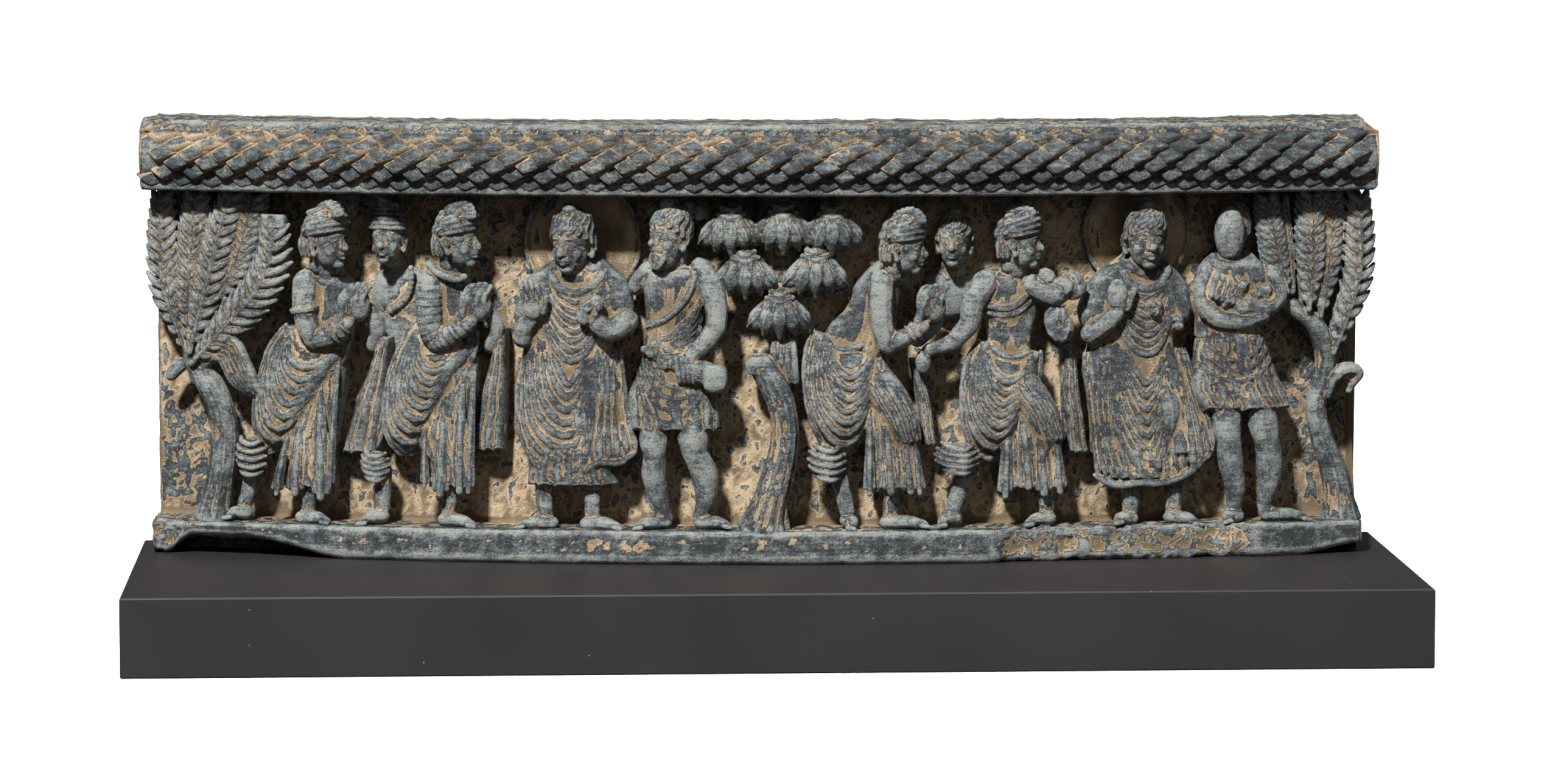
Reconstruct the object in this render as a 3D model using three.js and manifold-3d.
import * as THREE from 'three';
import { mergeVertices } from 'three/addons/utils/BufferGeometryUtils.js';
import Module from 'manifold-3d';

// A frieze segment carved from one block of grey schist, from the drum of a round monument,
// standing on the black wooden base that was made to its length. Millimetres, +Z up.
// The carving is laid out flat and then rolled round the drum: u runs along the front edge of
// the ledge, d is the depth behind that edge and z the height above the underside of the stone.

const drumRadius = 1115; // from the axis of the drum to the front edge of the ledge
const stoneHeight = 242;
const stoneDepth = 50;
const leftEnd = -341; // the sawn ends, measured along the chord
const rightEnd = 336;
const ledgeHeight = 18;
const groundDepth = 35; // how deep the figures are carved
const filletBottom = 203;
const filletTop = 210;
const netTop = 235;
const netRows = 5;
const netColumns = 56;
const coarseStep = 4; // steps of the net to one step of the plain faces
const netRelief = 1.6; // how far each scale of the net stands out
const netBulge = 8; // roundness of the moulding that carries the net
const topSetback = 10; // the plain band leans back to the flat top

const baseLength = 700;
const baseDepth = 236;
const baseHeight = 43;
const restingGap = 0.3;
const stoneTurn = THREE.MathUtils.degToRad(-3); // the stone stands slightly askew on its base
const stonePlace = [-6, -7]; // middle of the ledge front, seen from the middle of the base

const wasm = await Module();
wasm.setup();

// ---- rolling and joining ----

function bend([u, d, z]) {
  const angle = u / drumRadius;
  const reach = drumRadius - d;
  return [reach * Math.sin(angle), drumRadius - reach * Math.cos(angle), z];
}

function meshFrom(points, faces) {
  const geometry = new THREE.BufferGeometry();
  geometry.setAttribute('position', new THREE.Float32BufferAttribute(points.map(bend).flat(), 3));
  geometry.setIndex(faces.flat());
  return geometry;
}

function solid(geometry) {
  geometry.deleteAttribute('normal');
  geometry.deleteAttribute('uv');
  const merged = mergeVertices(geometry, 1e-4);
  return new wasm.Manifold(new wasm.Mesh({
    numProp: 3,
    vertProperties: new Float32Array(merged.attributes.position.array),
    triVerts: new Uint32Array(merged.index.array),
  }));
}

const join = (pieces) => pieces.reduce((all, piece) => all.add(piece));

function toGeometry(body) {
  const { vertProperties, triVerts } = body.getMesh();
  const geometry = new THREE.BufferGeometry();
  geometry.setAttribute('position', new THREE.Float32BufferAttribute(vertProperties, 3));
  geometry.setIndex(new THREE.Uint32BufferAttribute(triVerts, 1));
  geometry.computeVertexNormals();
  return geometry;
}

// ---- plain shapes in the flat layout ----

// A closed skin over rings of equal length, with a point in the middle of each end.
function skin(rings) {
  const sides = rings[0].length;
  const points = rings.flat();
  const faces = [];
  for (let i = 0; i < rings.length - 1; i += 1) {
    for (let j = 0; j < sides; j += 1) {
      const a = i * sides + j;
      const b = i * sides + (j + 1) % sides;
      faces.push([a, b, b + sides], [a, b + sides, a + sides]);
    }
  }
  for (const end of [0, rings.length - 1]) {
    const middle = [0, 1, 2].map((k) => rings[end].reduce((sum, p) => sum + p[k], 0) / sides);
    points.push(middle);
    for (let j = 0; j < sides; j += 1) {
      const a = end * sides + j;
      const b = end * sides + (j + 1) % sides;
      faces.push(end === 0 ? [b, a, points.length - 1] : [a, b, points.length - 1]);
    }
  }
  return solid(meshFrom(points, faces));
}

// Level rings, each { u, z, wide, deep, d }, rising in z. Corners stand out in turn by pleat, and
// each ring can hang lower in front by sag, so that ridged rings read as curved folds of cloth.
function column(rings, { sides = 8, pleat = 0, turn = 0.5 } = {}) {
  return skin(rings.map((ring) => Array.from({ length: sides }, (_, j) => {
    const angle = 2 * Math.PI * (j + turn) / sides;
    const swell = 1 + (j % 2 ? pleat : 0) * (ring.pleat ?? 1);
    const front = Math.max(0, -Math.sin(angle));
    return [
      ring.u + ring.wide * swell * Math.cos(angle),
      (ring.d ?? 20) + (ring.deep ?? 16) * swell * Math.sin(angle),
      ring.z + (ring.slope ?? 0) * Math.cos(angle) - (ring.sag ?? 0) * front,
    ];
  })));
}

// A round or flattened member through points [u, z, d, thickness], ring planes across the path.
function limb(path, { sides = 5, deep = 1 } = {}) {
  return skin(path.map(([u, z, d, thick], i) => {
    const before = path[Math.max(i - 1, 0)];
    const after = path[Math.min(i + 1, path.length - 1)];
    const along = new THREE.Vector2(after[0] - before[0], after[1] - before[1]).normalize();
    return Array.from({ length: sides }, (_, j) => {
      const turn = 2 * Math.PI * (j + 0.5) / sides;
      const across = thick * Math.cos(turn);
      return [u + along.y * across, d + deep * thick * Math.sin(turn), z - along.x * across];
    });
  }));
}

// ---- stone: slab, ledge and cornice ----

const smoothStep = (from, to, x) => THREE.MathUtils.smoothstep(x, from, to);
const endAlong = (side, d) => drumRadius * Math.asin(side / (drumRadius - d));

// The ledge is broken away below at the left, its face is broken back towards the right.
function ledgeFace(u) {
  const arch = 11 * smoothStep(-336, -318, u) * (1 - smoothStep(-290, -225, u));
  const corner = 5 * smoothStep(300, 335, u);
  const broken = 5 * smoothStep(128, 142, u) * (1 - smoothStep(262, 278, u));
  return { under: arch + corner, front: broken };
}

// One section of the whole stone at a chord position; column counts the fine steps of the net.
function stoneSection(chord, column) {
  const { under, front } = ledgeFace(chord);
  const worn = 5 * smoothStep(-322, -341, chord) + 4 * smoothStep(288, 320, chord);
  const net = Array.from({ length: netRows + 1 }, (_, row) => {
    const rise = row / netRows;
    const out = -3 - netBulge * Math.sin(Math.PI * (0.12 + 0.8 * rise));
    const edge = row === 0 || row === netRows;
    const lift = edge ? 0 : netRelief * ((row + column) % 2 ? 1 : -1);
    return { d: out - lift, z: filletTop + 0.5 + (netTop - filletTop) * rise, fine: true };
  });
  const plain = (d, z) => ({ d, z, fine: false });
  return [
    plain(front + 2, under),
    plain(front, under + 3),
    plain(front, ledgeHeight - 2),
    plain(front + 1, ledgeHeight),
    plain(groundDepth, ledgeHeight),
    plain(groundDepth + 1, filletBottom),
    plain(-3, filletBottom),
    plain(-4, filletTop),
    ...net,
    plain(-2, netTop + 1),
    plain(-1 + worn, stoneHeight - 4 - worn),
    plain(topSetback + worn, stoneHeight - worn * 0.5),
    plain(stoneDepth, stoneHeight),
    plain(stoneDepth, 0),
    plain(30, 0),
    plain(26, under),
  ];
}

// The section swept from end to end, its plain edges in coarse steps and the net in fine ones.
function slab() {
  const columns = Array.from({ length: netColumns + 1 }, (_, i) => {
    const chord = leftEnd + (rightEnd - leftEnd) * i / netColumns;
    return stoneSection(chord, i).map(({ d, z }) => [endAlong(chord, d), d, z]);
  });
  const section = stoneSection(leftEnd, 0);
  const points = [];
  const rows = section.map(({ fine }, j) => {
    const stride = fine ? 1 : coarseStep;
    return Array.from({ length: netColumns / stride + 1 }, (_, k) => {
      points.push(columns[k * stride][j]);
      return { index: points.length - 1, place: k * stride };
    });
  });
  const faces = rows.flatMap((row, j) => stitch(row, rows[(j + 1) % rows.length], j));
  const outline = section.map(({ d, z }) => new THREE.Vector2(d, z));
  for (const corners of THREE.ShapeUtils.triangulateShape(outline, [])) {
    const turnsLeft = THREE.ShapeUtils.area(corners.map((corner) => outline[corner])) > 0;
    const [a, b, c] = turnsLeft ? corners : [...corners].reverse();
    faces.push([c, b, a].map((corner) => rows[corner][0].index));
    faces.push([a, b, c].map((corner) => rows[corner].at(-1).index));
  }
  return solid(meshFrom(points, faces));
}

// Triangles between two rows of points, whichever row has the finer steps.
function stitch(low, high, row) {
  const faces = [];
  let i = 0;
  let j = 0;
  while (i < low.length - 1 || j < high.length - 1) {
    const nextLow = low[i + 1]?.place ?? Infinity;
    const nextHigh = high[j + 1]?.place ?? Infinity;
    // on equal steps the diagonal alternates, so that raised corners of the net stay pyramids
    const lowFirst = nextLow < nextHigh || (nextLow === nextHigh && (low[i].place + row) % 2 === 0);
    if (lowFirst && i < low.length - 1) {
      faces.push([low[i].index, low[i + 1].index, high[j].index]);
      i += 1;
    } else {
      faces.push([low[i].index, high[j + 1].index, high[j].index]);
      j += 1;
    }
  }
  return faces;
}

// ---- people ----

// Head and neck on level rings; turn swings the face from the front (0) to its left side (1).
function head(u, z, { d = 14, tall = 13, wide = 9.5, turn = 0, beard = 0 }) {
  const facing = -Math.PI / 2 + turn * 1.3;
  const rings = [
    { low: 24, wide: 0.75, out: 0 },
        { low: 11 + beard, wide: 0.6, out: 0.15 + beard * 0.06 },
    { low: 2, wide: 1, out: 0.12, nose: 0.32 },
    { low: -tall, wide: 0.75, out: 0 },
  ];
  return skin(rings.map((ring) => Array.from({ length: 6 }, (_, j) => {
    const angle = facing + 2 * Math.PI * j / 6;
    const reach = wide * ring.wide * (1 + (j === 0 ? ring.nose ?? 0 : 0));
    return [
      u + reach * Math.cos(angle) + wide * ring.out * Math.cos(facing) * turn,
      d + reach * 1.1 * Math.sin(angle) + wide * ring.out * Math.sin(facing),
      z - ring.low,
    ];
  })));
}

// Wound cloth: rings that swell and shrink in turn, leaning with the head.
function turban(u, z, d = 15) {
  const wraps = [[-7, 10], [-4, 13], [-1, 11.5], [2, 13], [6, 10], [11, 6]];
  return column(wraps.map(([rise, wide]) => ({ u: u - rise * 0.25, z: z + rise, wide, deep: wide * 0.95, d, slope: 2 })), { sides: 6 });
}

function hairCap(u, z, wide, bun) {
  return column([
    { u, z: z - 1, wide: wide + 0.5, deep: 10, d: 17 },
    { u, z: z + 13, wide: wide * 0.8, deep: 9, d: 16 },
    { u: u + bun[0], z: z + 19, wide: bun[1], deep: 7, d: 17 },
    { u: u + bun[0], z: z + 24, wide: bun[1] * 0.6, deep: 5, d: 17 },
  ], { sides: 7 });
}

function foot(heel, toe, d = 12) {
  return limb([[heel[0], heel[1] - 1, d + 3, 5], [toe[0], toe[1] - 1.5, d - 3, 3.2]], { sides: 4, deep: 1.4 });
}

function leg(knee, ankle, { d = 15, thick = 6.5 } = {}) {
  return limb([[...knee, d, thick], [...ankle, d, thick * 0.65]]);
}

// Rings of a garment between a hem and a waist, ridge and hollow in turn.
function garment(hem, waist, { ridges, sag, deep = 1.1, shift = 0 }) {
  const count = ridges * 2;
  return Array.from({ length: count + 1 }, (_, i) => {
    const share = i / count;
    const mix = (key) => THREE.MathUtils.lerp(hem[key], waist[key], share);
    const ridge = i % 2 ? deep : -deep;
    const belly = Math.sin(Math.PI * share);
    return {
      u: mix('u') + shift * belly,
      z: mix('z'),
      wide: mix('wide') + ridge + (hem.full ?? 0) * belly,
      deep: mix('deep') + ridge,
      d: 21,
      sag: sag * Math.min(1, share * 4) * (1 - share * 0.6),
      slope: (waist.slope ?? 0) * share,
      pleat: 1 - share * 0.7,
    };
  });
}

// A worshipper in a turban and a wrapped lower garment, one foot drawn back.
function worshipper(p) {
  const at = (place) => [p.at + place[0], place[1]];
  const [shoulder, waist, elbow, hands] = [p.shoulder, p.waist, p.elbow, p.hands].map(at);
  const [outer, knee, backFoot, frontFoot] = [p.outer, p.knee, p.backFoot, p.frontFoot].map(at);
  const wrist = [hands[0] - 5, hands[1] - 9];
  const middle = (outer[0] + waist[0]) / 2 + 8;
  const skirt = garment(
    { u: frontFoot[0] - 7, z: 36, wide: 16, deep: 14, full: 6 },
    { u: waist[0] + 10, z: waist[1] + 3, wide: 16, deep: 16, slope: 5 },
    { ridges: 3, sag: 13, shift: middle - (frontFoot[0] + waist[0]) / 2 },
  );
  const pieces = [
    column(skirt, { sides: 8, pleat: 0.1 }),
    column([
      { u: waist[0] + 11, z: waist[1] - 4, wide: 14, deep: 15 },
      { u: shoulder[0] + 13, z: shoulder[1] - 9, wide: 17, deep: 15 },
      { u: shoulder[0] + 13, z: shoulder[1] + 6, wide: 9, deep: 10 },
    ], { sides: 7 }),
    head(p.at + p.head[0], p.head[1], { turn: 1, wide: 9 }),
    turban(p.at + p.turban[0], p.turban[1]),
    limb([[...shoulder, 13, 8], [...elbow, 8, 6.4]]),
    limb([[...elbow, 8, 6.2], [...wrist, 8, 4.4], [hands[0] + 2, hands[1] + 9, 10, 3]]),
    column([
      { u: knee[0] + 9, z: knee[1] - 14, wide: 11, deep: 11, d: 21 },
      { u: knee[0] + 10, z: knee[1] - 2, wide: 15, deep: 14, d: 21 },
      { u: knee[0] + 13, z: knee[1] + 14, wide: 14, deep: 14, d: 21 },
    ], { sides: 6 }),
    leg([knee[0] + 6, knee[1] - 6], [backFoot[0] + 6, backFoot[1]]),
    foot(backFoot, [backFoot[0] + 17, backFoot[1]], 15),
    leg([frontFoot[0] + 4, 45], [frontFoot[0] + 3, 22]),
    foot(frontFoot, [frontFoot[0] + 24, 20], 10),
  ];
  for (const { from, to, wide } of p.cloths) {
    pieces.push(column([
      { u: p.at + to[0], z: to[1], wide, deep: 12, d: 31 },
      { u: p.at + from[0], z: from[1], wide: wide * 0.55, deep: 11, d: 30 },
    ], { sides: 8, pleat: 0.14 }));
  }
  if (p.farArm) {
    pieces.push(limb([[...hands, 13, 4], [hands[0] + 3, elbow[1] + 4, 17, 5], [hands[0] - 12, elbow[1] + 18, 20, 6]]));
  }
  if (p.arm) pieces.push(limb(p.arm.map(([u, z, d, thick]) => [p.at + u, z, d, thick])));
  return join(pieces);
}

// A haloed teacher in a long robe over both shoulders, right hand raised.
function teacher(p) {
  const [haloU, haloZ, haloRadius] = p.halo;
  const rim = Array.from({ length: 10 }, (_, j) => 2 * Math.PI * j / 10);
  const disc = [26, 38].map((d) => rim.map((angle) => [
    p.at + haloU + haloRadius * Math.sin(angle),
    d,
    Math.min(haloZ + haloRadius * Math.cos(angle), filletBottom + 2),
  ]));
  const robe = garment(
    { u: p.at + p.hem[0], z: p.hem[1], wide: 35, deep: 15 },
    { u: p.at + 2, z: 150, wide: 27, deep: 16 },
    { ridges: 4, sag: 11, deep: 1.3 },
  );
  const shoulders = [
    { u: p.at + 2, z: 159, wide: 19, deep: 13, d: 20 },
    { u: p.at + 1, z: 165, wide: 9, deep: 9, d: 20 },
  ];
  const [palmU, palmZ] = [p.at + p.palm[0], p.palm[1]];
  const [handU, handZ] = [p.at + p.otherHand[0], p.otherHand[1]];
  return join([
    skin(disc),
    column([...robe, ...shoulders], { sides: 10, pleat: 0.06 }),
    column([
      { u: p.at + p.hem[0] - 2, z: 37, wide: 27, deep: 13, d: 20 },
      { u: p.at + p.hem[0] - 2, z: 55, wide: 27, deep: 13, d: 20 },
    ], { sides: 10, pleat: 0.1 }),
    head(p.at + p.head[0], p.head[1], { turn: p.turn, tall: 14, wide: 10.5 }),
    hairCap(p.at + p.head[0], p.head[1] + 4, 10.5, p.bun),
    limb([[p.at - 24, 153, 17, 8], [p.at - 31, 130, 12, 7]]),
    limb([[p.at - 31, 130, 12, 7], [palmU, palmZ - 7, 7, 4.4], [palmU - 1, palmZ, 7, 5], [palmU - 4, palmZ + 12, 9, 3]]),
    limb([[p.at + 28, 150, 17, 8.5], [p.at + 31, 131, 12, 8]]),
    limb([[p.at + 31, 131, 12, 8], [handU, handZ - 4, 6, 5.5], [handU - 1, handZ + 6, 7, 4.5]]),
    ...p.feet.flatMap(([ankle, toe]) => [
      leg([p.at + ankle, 44], [p.at + ankle, 21], { thick: 6 }),
      foot([p.at + ankle, 22], [p.at + toe, 20], 10),
    ]),
  ]);
}

// An attendant in a pleated tunic to the knee.
function attendant(p) {
  const [left, right] = p.shoulders;
  const middle = p.at + (left[0] + right[0]) / 2;
  return join([
    column([
      { u: p.at + p.hem[0], z: p.hem[1], wide: 27, deep: 15, slope: p.hem[2] },
      { u: p.at + p.hem[0] * 0.6, z: 96, wide: 23, deep: 15 },
      { u: middle - 1, z: 118, wide: 17, deep: 15 },
    ], { sides: 14, pleat: 0.1 }),
    column([
      { u: middle - 1, z: 112, wide: 18, deep: 15 },
      { u: middle, z: 134, wide: 19, deep: 15 },
      { u: middle, z: 153, wide: 22, deep: 15 },
      { u: middle, z: 166, wide: 10, deep: 10 },
    ]),
    head(p.at + p.head[0], p.head[1], { turn: p.turn, beard: p.beard, wide: p.faceWide }),
    hairCap(p.at + p.head[0], p.head[1] + 4, p.faceWide, [0, 6]),
    ...p.arms.map((arm) => limb(arm.map(([u, z, d, thick]) => [p.at + u, z, d, thick]))),
    ...p.legs.flatMap(({ knee, ankle, toe }) => [
      leg([p.at + knee[0], knee[1] + 8], [p.at + ankle[0], ankle[1] - 10], { thick: 7 }),
      foot([p.at + ankle[0], 22], [p.at + toe, 20], 10),
    ]),
  ]);
}

function headBehind(u, z, bun) {
  return join([head(u, z, { d: 30, wide: 9, tall: 12 }), hairCap(u, z + 3, 9, bun)]);
}

const worshippers = [
  {
    at: -240, head: [-3, 175], turban: [-1, 189], shoulder: [-18, 155], waist: [-20, 115], elbow: [-11, 119],
    hands: [18, 144], outer: [-45, 86], knee: [-53, 54], backFoot: [-72, 22], frontFoot: [-22, 21], farArm: true,
    cloths: [{ from: [26, 122], to: [14, 53], wide: 13 }],
  },
  {
    at: -167, head: [-1, 176], turban: [-4, 190], shoulder: [-21, 154], waist: [-26, 113], elbow: [-10, 118],
    hands: [13, 146], outer: [-45, 84], knee: [-49, 54], backFoot: [-60, 21], frontFoot: [-10, 21], farArm: true,
    cloths: [{ from: [20, 116], to: [11, 58], wide: 13 }, { from: [-44, 140], to: [-62, 60], wide: 11 }],
  },
  {
    at: 81, head: [1, 174], turban: [-4, 187], shoulder: [-16, 152], waist: [-40, 126], elbow: [-12, 119],
    hands: [18, 145], outer: [-50, 92], knee: [-47, 56], backFoot: [-34, 21], frontFoot: [-14, 21], farArm: true,
    cloths: [{ from: [8, 103], to: [19, 60], wide: 10 }],
  },
  {
    at: 146, head: [0, 174], turban: [-4, 188], shoulder: [-15, 153], waist: [-22, 120], elbow: [14, 138],
    hands: [18, 142], outer: [-33, 90], knee: [-36, 56], backFoot: [-44, 22], frontFoot: [2, 25], farArm: false,
    cloths: [{ from: [28, 126], to: [38, 54], wide: 10 }],
    arm: [[-20, 154, 12, 8], [-31, 128, 14, 6.5], [-44, 117, 18, 5], [-55, 110, 22, 5]],
  },
];

const teachers = [
  {
    at: -103, halo: [-2, 177, 34], head: [0, 175], turn: -0.5, bun: [-6, 6], palm: [-22, 143],
    otherHand: [13, 138], hem: [1, 50], feet: [[-19, -36], [10, 26]],
  },
  {
    at: 214, halo: [4, 178, 30], head: [1, 177], turn: 0, bun: [1, 6], palm: [-15, 142],
    otherHand: [22, 131], hem: [7, 48], feet: [[-5, -15], [22, 35]],
  },
];

const attendants = [
  {
    at: -49, head: [0, 182], turn: -0.6, beard: 7, faceWide: 9.5, shoulders: [[-17, 159], [20, 163]], hem: [0, 70, 0],
    arms: [
      [[-15, 157, 15, 7.5], [-24, 146, 22, 6], [-26, 134, 28, 5]],
      [[20, 158, 14, 8], [27, 135, 10, 7], [16, 116, 5, 5.5], [8, 108, 4, 5]],
      [[-14, 117, 6, 6], [0, 112, 5, 5.5], [24, 104, 6, 7.5]],
    ],
    legs: [{ knee: [-9, 65], ankle: [-6, 31], toe: -22 }, { knee: [12, 65], ankle: [19, 30], toe: 34 }],
  },
  {
    at: 263, head: [5, 180], turn: 0, beard: 0, faceWide: 8, shoulders: [[-11, 159], [30, 162]], hem: [15, 78, 4],
    arms: [
      [[-10, 156, 16, 7.5], [-8, 138, 12, 6], [0, 148, 7, 5], [6, 152, 7, 3]],
      [[30, 158, 15, 8], [40, 140, 11, 7], [20, 132, 4, 7], [2, 132, 3, 7]],
    ],
    legs: [{ knee: [4, 68], ankle: [7, 34], toe: 3 }, { knee: [22, 73], ankle: [27, 36], toe: 47 }],
  },
];

// ---- trees ----

// A palm frond: a blade whose edge swings in and out with its leaflets.
function frond(path, wide, steps = 6) {
  const curve = new THREE.CatmullRomCurve3(path.map(([u, z]) => new THREE.Vector3(u, z, 0)));
  return limb(Array.from({ length: steps + 1 }, (_, i) => {
    const share = i / steps;
    const { x, y } = curve.getPoint(share);
    const swell = wide * Math.min(1, share * 3 + 0.25, (1 - share) * 4 + 0.3);
    return [x, y, 26, swell * (i % 2 ? 1 : 0.72)];
  }), { sides: 3, deep: 1.9 });
}

function trunk(path, deep = 1.6) {
  const curve = new THREE.CatmullRomCurve3(path.map(([u, z, thick]) => new THREE.Vector3(u, z, thick)));
  return limb(curve.getPoints(7).map(({ x, y, z: thick }) => [x, y, 23, thick]), { sides: 6, deep });
}

// A bunch of drooping leaves under a knob, its tips and gaps made by turns.
function leafBunch(u, z, size) {
  const ring = (rise, tip, gap) => Array.from({ length: 10 }, (_, j) => {
    const angle = 2 * Math.PI * j / 10;
    const reach = size * (j % 2 ? tip : gap);
    return [u + reach * Math.cos(angle), 27 + reach * Math.sin(angle), z + rise - (j % 2 ? 3 : 0)];
  });
  return skin([ring(-7, 1, 0.55), ring(4, 0.8, 0.65), ring(12, 0.4, 0.35)]);
}

function leftPalm() {
  const crown = [-325, 111];
  const tips = [
    [[-346, 150], [-345, 194]],
    [[-333, 150], [-334, 197]],
    [[-323, 155], [-320, 198]],
    [[-309, 152], [-302, 197]],
    [[-298, 150], [-290, 196]],
    [[-299, 136], [-273, 180]],
  ];
  return join([
    ...tips.map(([bow, tip]) => frond([crown, bow, tip], 6.5)),
    trunk([[-324, 112, 9], [-318, 90, 6.5], [-312, 74, 7], [-315, 50, 6.5], [-322, 19, 10]]),
    limb([[-323, 100, 20, 6], [-314, 116, 18, 6], [-302, 117, 17, 7], [-293, 104, 18, 7], [-293, 84, 20, 2]]),
    limb([[-324, 106, 20, 4], [-337, 100, 18, 5.5], [-338, 92, 20, 3]]),
  ]);
}

function rightPalm() {
  return join([
    ...[
      [[299, 146], [292, 170], [291, 192]],
      [[318, 140], [319, 168], [318, 198]],
      [[330, 120], [340, 150], [342, 194]],
      [[308, 150], [305, 175], [304, 198]],
    ].map((path) => frond(path, 6)),
    trunk([[306, 150, 5], [326, 122, 8], [321, 100, 7], [317, 78, 7], [326, 45, 8], [330, 19, 12]]),
    limb([[321, 88, 20, 4], [327, 99, 18, 4.5], [339, 103, 18, 5], [340, 94, 20, 4]]),
  ]);
}

function leafyTree() {
  const bunches = [[-15, 184], [13, 184], [41, 184], [-8, 158], [32, 158], [12, 138]];
  return join([
    ...bunches.map(([u, z]) => leafBunch(u, z, 15)),
    trunk([[7, 128, 6], [5, 108, 8], [13, 80, 8], [12, 52, 8], [4, 19, 15]]),
    limb([[4, 100, 18, 7], [-9, 111, 14, 6.5]]),
    limb([[0, 112, 17, 4], [0, 129, 17, 2.5]]),
    limb([[13, 112, 17, 4], [14, 129, 17, 2.5]]),
  ]);
}

// ---- the two pieces ----

function reliefPanel() {
  const carving = join([
    ...worshippers.map(worshipper),
    ...teachers.map(teacher),
    ...attendants.map(attendant),
    headBehind(-210, 172, [0, 10]),
    headBehind(113, 172, [0, 5]),
    leftPalm(),
    leafyTree(),
    rightPalm(),
  ]);
  const stone = slab().add(carving);
  const mesh = new THREE.Mesh(
    toGeometry(stone),
    new THREE.MeshStandardMaterial({ color: 0x6b757a, roughness: 0.85, metalness: 0 }),
  );
  mesh.name = 'relief_panel';
  mesh.rotation.z = stoneTurn;
  mesh.position.set(...stonePlace, baseHeight + restingGap);
  return mesh;
}

function displayBase() {
  const block = new THREE.BoxGeometry(baseLength, baseDepth, baseHeight);
  const mesh = new THREE.Mesh(
    block,
    new THREE.MeshStandardMaterial({ color: 0x3a3334, roughness: 0.5, metalness: 0 }),
  );
  mesh.name = 'display_base';
  mesh.position.z = baseHeight / 2;
  return mesh;
}

const group = new THREE.Group();
group.add(displayBase(), reliefPanel());
export default group;
